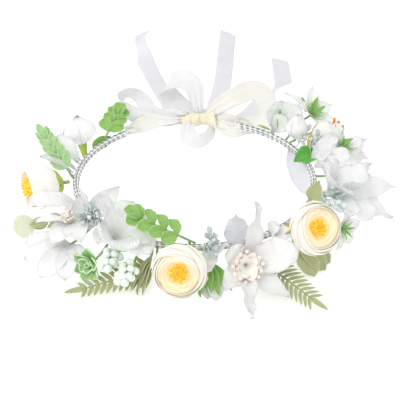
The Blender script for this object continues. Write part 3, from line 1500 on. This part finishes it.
        back = tipped("organza_back_petals", foot("organza_back"), [
            Tip((72, 78, 27), 24, 75, Cut.SPOON, 20, 0.4, 1.8),
            Tip((88, 72, 24), 24, 60, Cut.SPOON, 25, 0.4, 1.8),
            Tip((64, 88, 14), 20, 40, Cut.SPOON, 30, 0.4, 1.6),
            Tip((82, 90, 18), 22, 30, Cut.SPOON, 30, 0.3, 1.6),
            Tip((76, 66, 18), 16, 80, Cut.SPOON, 25, 0.4, 1.2)])
        back.finished(self.finishes.organza, "root", "organza", ["organza_back"], wall=SHEER_WALL, levels=1)

    def loose_petals(self) -> None:
        """Single petals wired in between the larger flowers, each with its foot, seed and tip."""
        grey = (
            (ring_point(289, PETAL_FOOT, -2), 1, Tip((28, -93, 28), 18, 60, Cut.POINTED, 20, 0.2, 1.4)),
            (ring_point(35, PETAL_FOOT, -2), 2, Tip((92, 2, -17), 18, 40, Cut.ROUND, 15, 0.2, 1.2)),
            (ring_point(178, PETAL_FOOT, 2), 3, Tip((-121, 8, 14), 14, 50, Cut.ROUND, 20, 0.3, 1.0)),
            (ring_point(168, PETAL_FOOT, 1), 4, Tip((-112, 30, 15), 15, 20, Cut.ROUND, 20, 0.3, 1.4)),
            (ring_point(165, PETAL_FOOT, 1), 5, Tip((-117, 40, 8), 13, 10, Cut.ROUND, 20, 0.3, 1.4)))
        white = (
            (ring_point(214, PETAL_FOOT, 4), 1, Tip((-84, -50, 22), 13, 60, Cut.ROUND, 20, 0.3, 0.5)),
            (ring_point(305, PETAL_FOOT, 1), 2, Tip((60, -80, 10), 12, 40, Cut.ROUND, 60, 0.5, 0.5)),
            (ring_point(306, PETAL_FOOT, 0), 3, Tip((68, -86, 4), 12, 20, Cut.ROUND, 60, 0.5, 0.5)),
            (ring_point(278, 95.5, -14), 0, Tip((9, -117, -26), 12, 6, Cut.ROUND, 20, 0.2, 0.5)),
            (ring_point(278, 95.5, -14), 1, Tip((15, -119, -26), 12, -6, Cut.ROUND, 20, 0.2, 0.5)),
            (ring_point(167, PETAL_FOOT, 2), 7, Tip((-112, 36, 17), 14, 0, Cut.ROUND, 30, 0.3, 1.2)),
            (ring_point(173, PETAL_FOOT, 0), 8, Tip((-124, 22, 8), 13, 20, Cut.POINTED, 30, 0.3, 1.2)),
            (ring_point(229, PETAL_FOOT, 0), 16, Tip((-67, -90, 2), 15, -10, Cut.ROUND, 30, 0.3, 1.2)),
            (ring_point(217, PETAL_FOOT, 3), 14, Tip((-54, -50, 24), 17, 60, Cut.POINTED, 30, 0.3, 1.4)),
            (ring_point(279, PETAL_FOOT, -1), 15, Tip((8, -108, -10), 15, 10, Cut.ROUND, 50, 0.4, 1.2)),
            (ring_point(230, PETAL_FOOT, 3), 12, Tip((-58, -78, 28), 16, 50, Cut.POINTED, 30, 0.3, 1.2)),
            (ring_point(202, PETAL_FOOT, 0), 13, Tip((-124, -42, 6), 15, -20, Cut.ROUND, 30, 0.3, 1.2)),
            (ring_point(222, PETAL_FOOT, 3), 9, Tip((-76, -74, 18), 15, 30, Cut.POINTED, 30, 0.3, 1.0)),
            (ring_point(8, PETAL_FOOT, 2), 10, Tip((122, 14, 14), 16, 30, Cut.ROUND, 30, 0.3, 1.4)),
            (ring_point(14, PETAL_FOOT, 2), 11, Tip((112, 34, 20), 14, 50, Cut.ROUND, 30, 0.3, 1.4)),
            (ring_point(281, PETAL_FOOT, 2), 5, Tip((16, -110, 6), 12, 20, Cut.ROUND, 50, 0.4, 0.6)),
            (ring_point(279, PETAL_FOOT, 3), 6, Tip((12, -104, 9), 10, 20, Cut.ROUND, 50, 0.4, 0.6)))
        kinds = (("grey_petals", self.finishes.lilac, "organza", grey),
                 ("white_filler_petals", self.finishes.white, "white_petal", white))
        for name, finish, slot, petals in kinds:
            posy = Posy(name)
            for start, seed, tip in petals:
                tip.add_to(posy, start, seed)
            posy.finished(finish, "root", slot, wall=PETAL_WALL, levels=1)

    def build(self) -> None:
        """Makes the blossoms."""
        self.magnolia_front()
        self.magnolia_left()
        self.lilies()
        self.organzas()
        self.loose_petals()


# ---------------------------------------------------------------- foliage

@dataclass
class Foliage:
    """Fronds, sprigs, single leaves and berries."""

    finishes: Finishes

    def sprig(self, name: str, node: str, body: str, place: Matrix, length: float, pairs: int, blade: Blade,
              spread: float, taper: float, material: bpy.types.Material, stem: bpy.types.Material,
              slot: str,
              tuft: bool = True, bow: float = 0.0, nodes: Sequence[str] = ()) -> None:
        """Stem with pairs of leaves that shorten towards the tip, and leaves at its end.

        Args:
            name: the piece's name.
            node: the plain solid that it stands for.
            body: the body that it moves with.
            place: carries +X along the stem.
            length: length of the stem.
            pairs: number of pairs of leaves.
            blade: shape of the largest leaf.
            spread: angle of the leaves from the stem.
            taper: share of its length that a leaf loses by the tip.
            material: its finish.
            stem: finish of the stem.
            slot: the record's material slot.
            tuft: whether a leaf stands at the end.
            bow: rise of the middle of the stem.
            nodes: further nodes.
        """
        leaves = Posy(name)
        for i in range(1, pairs + 1):
            share = i / pairs
            for side in (-1, 1):
                small = replace(blade, length=blade.length * (1 - taper * share),
                                width=blade.width * (1 - 0.6 * taper * share))
                spot = Vector((length * share * 0.94, 0, bow * math.sin(math.pi * share)))
                leaves.blade(small, place @ Matrix.Translation(spot)
                             @ turned(side * (spread - 12 * share), "Z")
                             @ turned(-side * 14, "X") @ turned(-8, "Y"), i)
        if tuft:
            leaves.blade(blade, place @ Matrix.Translation((length * 0.96, 0, 0)) @ turned(-20, "Y"), 0)
        leaves.finished(material, body, slot, [node] if node else [], wall=LEAF_WALL)
        stalk = Posy(name + "_stem")
        line = [place @ Vector((length * s, 0, bow * math.sin(math.pi * s)))
                for s in (-0.12, 0.2, 0.5, 0.8, 1.0)]
        stalk.take(rod("stem", line, 0.9, 0.6, sides=8, rings=16))
        stalk.finished(stem, body, "stem_green")

    def ferns(self) -> None:
        """The two olive fronds."""
        leaflet = Blade(15.5, 4.4, Cut.SLIM, curl=14, cup=0.2, keel=0.35, rows=8, columns=4)
        self.sprig("fern_left_leaflets", "fern_left", "left_fern",
                   reaching(foot("fern_left"), 198, -6, -32),
                   54, 11, leaflet, 60, 0.5, self.finishes.olive, self.finishes.olive_stem, "olive",
                   bow=1.5)
        self.sprig("fern_right_leaflets", "fern_right", "right_fern",
                   reaching(foot("fern_right"), 313, -7, 34),
                   55, 13, replace(leaflet, length=18, width=3.7), 54, 0.45, self.finishes.olive,
                   self.finishes.olive_stem, "olive", bow=2)

    def green_sprigs(self) -> None:
        """Fresh green sprigs: the eucalyptus at the front and those at the left and back."""
        leaf = Blade(15, 10.5, Cut.ROUND, curl=18, cup=0.35, ruffle=0.5, keel=0.2)
        self.sprig("eucalyptus_leaves", "eucalyptus_sprig", "eucalyptus",
                   reaching(foot("eucalyptus"), 168, 22, -20), 38, 4, replace(leaf, length=13.5, width=10),
                   50, 0.1, self.finishes.fresh, self.finishes.stem, "fresh_green")
        self.sprig("mint_sprig_leaves", "mint_sprig", "root", reaching(foot("mint_sprig"), 130, 30, -30),
                   38, 5, replace(leaf, cut=Cut.TOOTHED, length=15, width=7.5, rows=18), 38, 0.2,
                   self.finishes.mint, self.finishes.stem, "fresh_green")
        self.sprig("green_sprig_leaves", "green_sprig_back", "root",
                   reaching(foot("green_sprig"), 70, 20, 10),
                   25, 3, replace(leaf, width=11), 44, 0.1, self.finishes.fresh, self.finishes.stem,
                   "fresh_green")
        rosette = Posy("succulent_leaves")
        place = standing(foot("succulent"), 237, 12)
        fleshy = Blade(15, 9.5, Cut.ROUND, curl=-20, cup=0.5, keel=0.1)
        Whorl(fleshy, 6, 66).add_to(rosette, place)
        Whorl(replace(fleshy, length=11, width=8), 5, 44, 30).add_to(rosette, place)
        Whorl(replace(fleshy, length=8, width=6), 4, 20, 10).add_to(rosette, place)
        rosette.finished(self.finishes.mint, "root", "fresh_green", ["succulent_rosette"], wall=1.1,
                         levels=1)

    def single_leaves(self) -> None:
        """Leaves that stand alone, and the small clusters."""
        bright = Posy("band_leaf_serrated")
        bright.blade(Blade(22, 15, Cut.TOOTHED, 20, 0.25, 0.9, keel=0.2, rows=24),
                     reaching(foot("band_leaf"), 222, 4, -34), 0)
        bright.finished(self.finishes.bright, "root", "fresh_green", ["leaf_band_right"], wall=FIRM_WALL)
        olive = Posy("olive_leaf_serrated")
        olive.blade(Blade(18, 12, Cut.TOOTHED, 15, 0.2, 0.6, keel=0.15, rows=24),
                    reaching(foot("olive_leaf"), 331, 78, 92), 0)
        olive.finished(self.finishes.olive, "root", "olive", ["olive_leaf_right"], wall=FIRM_WALL)
        broad = Posy("olive_leaves_broad")
        for i, turn in enumerate((-20, 2, 22)):
            broad.blade(Blade(34, 16, Cut.ROUND, 18, 0.2, 0.8, keel=0.15),
                        reaching(ring_point(317, 97.6, -8), 318 + turn, -24, 14), i)
        broad.finished(self.finishes.olive, "root", "olive", ["leaves_low_right"], wall=LEAF_WALL)
        cluster = Posy("front_green_leaves")
        for i, turn in enumerate((-30, -10, 8, 34)):
            cluster.blade(Blade(26, 8, Cut.POINTED, 30, 0.3, 0.8, keel=0.2),
                          reaching(foot("front_leaves"), 276 + turn, -22 + 2 * i, 20), i)
        cluster.finished(self.finishes.fresh, "root", "fresh_green", ["cluster_front"], wall=LEAF_WALL)
        slender = Posy("slender_olive_leaves")
        for i, (turn, drop) in enumerate(((-14, -29), (-26, -25), (-4, -33))):
            slender.blade(Blade(29, 5.5, Cut.SLIM, 25, 0.2, 0.5, keel=0.3),
                          reaching(foot("slender_leaves"), 252 + turn, drop, 20), i)
        slender.finished(self.finishes.olive, "left_fern", "olive", wall=LEAF_WALL)
        extra = Posy("pointed_green_leaves")
        extra.blade(Blade(19, 11, Cut.ROUND, 15, 0.3, 0.6, keel=0.2),
                    reaching(ring_point(137, 96.8, 0), 222, -12, -35), 1)
        spots = (
            (ring_point(45, 98, 6), 50, 70, 60, 22),
            (ring_point(49, 97, 2), 140, 10, 30, 14),
            (ring_point(18, 119, 6), 350, 40, 30, 17),
            (ring_point(20, 118, 6), 30, 50, 30, 16),
            (ring_point(24, 97, -3), 200, -40, 40, 8),
            (ring_point(38, 123, 17), 40, 62, 30, 15),
            (ring_point(36, 121, 17), 350, 50, 40, 14),
            (ring_point(40, 121, 17), 110, 55, 0, 14),
            (ring_point(58, 98, -1), 160, -20, 30, 9))
        for spot, azimuth, rise, roll, size in spots:
            extra.blade(Blade(size, size * 0.36, curl=15, cup=0.3, keel=0.3),
                        reaching(spot, azimuth, rise, roll), 0)
        extra.finished(self.finishes.fresh, "root", "fresh_green", wall=LEAF_WALL)
        ochre = Posy("ochre_leaf")
        ochre.blade(Blade(17, 9, curl=25, cup=0.3, keel=0.2), reaching(ring_point(310, 97, 2), 296, 42, 60),
                    0)
        ochre.finished(self.finishes.ochre, "root", "ochre_leaf", wall=LEAF_WALL)

    def olive_sprig(self) -> None:
        """Slim olive leaves with one round pale leaf at the end."""
        place = reaching(foot("olive_sprig"), 201, 1, -50)
        self.sprig("olive_sprig_leaves", "olive_sprig_left", "left_olive_sprig", place, 24, 2,
                   Blade(14.5, 7.5, curl=15, cup=0.2, keel=0.3), 24, 0.1, self.finishes.olive,
                   self.finishes.olive_stem, "olive")
        disc = Posy("olive_sprig_round_leaf")
        disc.blade(Blade(17.5, 17.5, Cut.ROUND, 10, 0.15, 0.3), place @ Matrix.Translation((31, 0, 0.6)), 0)
        disc.finished(self.finishes.pale_olive, "left_olive_sprig", "olive", wall=FIRM_WALL, levels=1)

    def berry_spike(self, name: str, node: str, place: Matrix, length: float, count: int, radius: float,
                    around: float, material: bpy.types.Material, core: bpy.types.Material) -> None:
        """Berries in a spiral on a green core, each with a dimple of stalk.

        Args:
            name: the piece's name.
            node: the plain solid that it stands for.
            place: carries +X along the spike.
            length: length of the spike.
            count: number of berries.
            radius: radius of a berry.
            around: distance of the berries from the core.
            material: its finish.
            core: finish of the core.
        """
        berries = Posy(name)
        cores = Posy(name + "_core")
        cores.take(rod("core", [place @ Vector((s * length, 0, 0)) for s in (-0.2, 0.3, 0.6, 0.95)],
                       around * 0.5, 0.4))
        for i in range(count):
            share = i / (count - 1)
            aim = (place @ Matrix.Translation((length * (0.02 + 0.96 * share), 0, 0))
                   @ turned(i * GOLDEN_TURN, "X")
                   @ Matrix.Translation((0, 0, around * (1 - 0.5 * share ** 2))))
            berries.copy(("berry", radius), ball(radius, 3), aim @ turned(17 * i, "Y"))
            cores.take(rod("link", [place @ Vector((length * (0.02 + 0.9 * share), 0, 0)),
                                    aim @ Vector((0, 0, 0))], 0.5,
                           sides=5, rings=2))
        berries.finished(material, "root", "berry", [node])
        cores.finished(core, "root", "stem_green")

    def berries(self) -> None:
        """The two mint berry spikes and the dusted sprig on the right."""
        self.berry_spike("berries_upper_beads", "berries_upper", reaching(foot("berries_upper"), 243, -4),
                         17, 17, 2.75, 5.4, self.finishes.berry, self.finishes.core)
        self.berry_spike("berries_lower_beads", "berries_lower", reaching(foot("berries_lower"), 247, -2),
                         17, 17, 2.7, 5.2, self.finishes.berry, self.finishes.core)
        self.berry_spike("berry_sprig_beads", "berry_sprig_right", reaching(foot("berry_sprig"), 340, 12),
                         24, 17, 1.9, 5.0, self.finishes.blue_berry, self.finishes.sage)

    def sage(self) -> None:
        """Dusty sage filler: small leaves and beads between the flowers."""
        sprays = ((224, 30, 70, 18, ["sage_sprays"]), (279, -40, 62, 18, []), (18.5, 10, 68, 18, []),
                  (221, 10, 40, 16, []),
                  (228, -30, 60, 18, []), (274, 20, 40, 14, []), (338, 20, 30, 22, []),
                  (344, -30, 20, 22, []), (30, 20, 30, 14, []))
        for number, (angle, turn, rise, length, nodes) in enumerate(sprays):
            place = reaching(ring_point(angle, 97.1, 2), angle + turn, rise)
            leaves = Posy(f"sage_leaves_{number}")
            beads = Posy(f"sage_beads_{number}")
            for i in range(9):
                share = (i + 1) / 9
                spot = place @ Matrix.Translation((length * share, 0, 0)) @ turned(i * GOLDEN_TURN, "X")
                leaves.blade(Blade(7.5, 4, Cut.ROUND, 20, 0.3, rows=6, columns=4), spot @ turned(-38, "Y"),
                             i % 3)
                if i % 2:
                    beads.copy(("sage bead",), ball(1.6), spot @ Matrix.Translation((1.5, 0, 3.8)))
            leaves.finished(self.finishes.sage, "root", "sage", nodes, wall=LEAF_WALL)
            stem = rod("stem", [place @ Vector((s, 0, 0)) for s in (-3.0, length / 2, length)], 0.5,
                       sides=5)
            beads.take(stem)
            beads.finished(self.finishes.sage_bead, "root", "sage")

    def build(self) -> None:
        """Makes the foliage."""
        self.ferns()
        self.green_sprigs()
        self.single_leaves()
        self.olive_sprig()
        self.berries()
        self.sage()


@dataclass
class Stalks:
    """Wired stalks that carry the flowers and sprays out from the band."""

    finishes: Finishes
    face: float = 94.4
    thickness: float = 0.9
    foot_rise: float = 1.5
    knee_share: float = 0.6
    knee_drop: float = 0.8
    carried: dict[str, Sequence[str]] = field(default_factory=lambda: {
        "root": ("succulent", "lily_low_left", "berries_upper", "berries_lower", "berry_sprig",
                 "magnolia_left", "organza_right", "organza_left", "organza_back", "lily_back",
                 "lily_right", "blossom_right", "lily_low_right", "bud_back", "cup_back", "mint_sprig",
                 "green_sprig", "slender_leaves", "front_leaves", "broad_leaves", "band_leaf", "olive_leaf",
                 "hanging_petals"),
        "left_bud": ("bud_left",), "eucalyptus": ("eucalyptus",), "left_fern": ("fern_left",),
        "right_fern": ("fern_right",), "left_olive_sprig": ("olive_sprig",)})

    def build(self) -> None:
        """Makes one piece of stalks for each body."""
        for body, names in self.carried.items():
            stalks = Posy(f"{body}_wired_stalks")
            for angle, radius, height in (FEET[name] for name in names):
                foot = ring_point(angle, self.face, max(-self.foot_rise, min(self.foot_rise, height)))
                knee = ring_point(angle, 0.4 * self.face + self.knee_share * radius, self.knee_drop * height)
                stalks.take(rod("stalk", [foot, knee, ring_point(angle, radius, height)], self.thickness,
                                rings=8))
            stalks.finished(self.finishes.stem, body, "stem_green")


# ---------------------------------------------------------------- stage

@dataclass
class Stage:
    """White table, soft studio light and the camera."""

    camera_place: Triple = (0.0039, -0.62745, 0.38699)
    camera_pitch: float = 57.0
    lens: float = 85.0
    sensor_width: float = 36.0
    table_size: float = 8.0
    table_gap: float = 0.0002
    table_shade: float = 0.8
    table_light: float = 0.42
    sky_light: float = 0.87
    lamp_place: Triple = (-0.5, -0.5, 1.0)
    lamp_power: float = 4.5
    lamp_size: float = 0.7

    def table(self) -> None:
        """White table top under the crown."""
        bpy.ops.mesh.primitive_plane_add(size=self.table_size, location=(0, 0, 0))
        top = bpy.context.object
        top.name = "tabletop"
        top.data.transform(Matrix.Translation((0, 0, FLOOR * MM - self.table_gap)))
        paint = bpy.data.materials.new("white table")
        paint.use_nodes = True
        shader = paint.node_tree.nodes["Principled BSDF"]
        shader.inputs["Base Color"].default_value = (*[self.table_shade] * 3, 1)
        shader.inputs["Roughness"].default_value = 1.0
        shader.inputs["Specular IOR Level"].default_value = 0.0
        shader.inputs["Emission Color"].default_value = (1, 1, 1, 1)
        shader.inputs["Emission Strength"].default_value = self.table_light
        top.data.materials.append(paint)

    def light(self) -> None:
        """Even white surroundings and one broad lamp from the upper left."""
        world = bpy.data.worlds.new("studio")
        bpy.context.scene.world = world
        world.use_nodes = True
        world.node_tree.nodes["Background"].inputs["Color"].default_value = (1, 1, 1, 1)
        world.node_tree.nodes["Background"].inputs["Strength"].default_value = self.sky_light
        bpy.ops.object.light_add(type="AREA", location=self.lamp_place)
        lamp = bpy.context.object
        lamp.data.energy = self.lamp_power
        lamp.data.size = self.lamp_size
        lamp.rotation_euler = (Vector((0, 0, 0)) - lamp.location).to_track_quat("-Z", "Y").to_euler()

    def camera(self) -> None:
        """Camera in front of the crown, looking down on it."""
        data = bpy.data.cameras.new("camera")
        data.lens = self.lens
        data.sensor_width = self.sensor_width
        camera = bpy.data.objects.new("camera", data)
        bpy.context.scene.collection.objects.link(camera)
        camera.location = self.camera_place
        camera.rotation_euler = (math.radians(self.camera_pitch), 0, 0)
        bpy.context.scene.camera = camera
        bpy.context.scene.view_settings.view_transform = "Standard"

    def build(self) -> None:
        """Makes the stage."""
        self.table()
        self.light()
        self.camera()


def main() -> None:
    """Builds the crown round its frame."""
    logging.basicConfig(level=logging.INFO, format="%(message)s")
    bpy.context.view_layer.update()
    Stage().build()
    finishes = Finishes()
    for group in (Band(finishes), Bow(finishes), Ranunculi(finishes), Buds(finishes), Blossoms(finishes),
                  Foliage(finishes), Stalks(finishes)):
        group.build()
        log.info("%s is made", type(group).__name__)


if __name__ == "__main__":
    main()
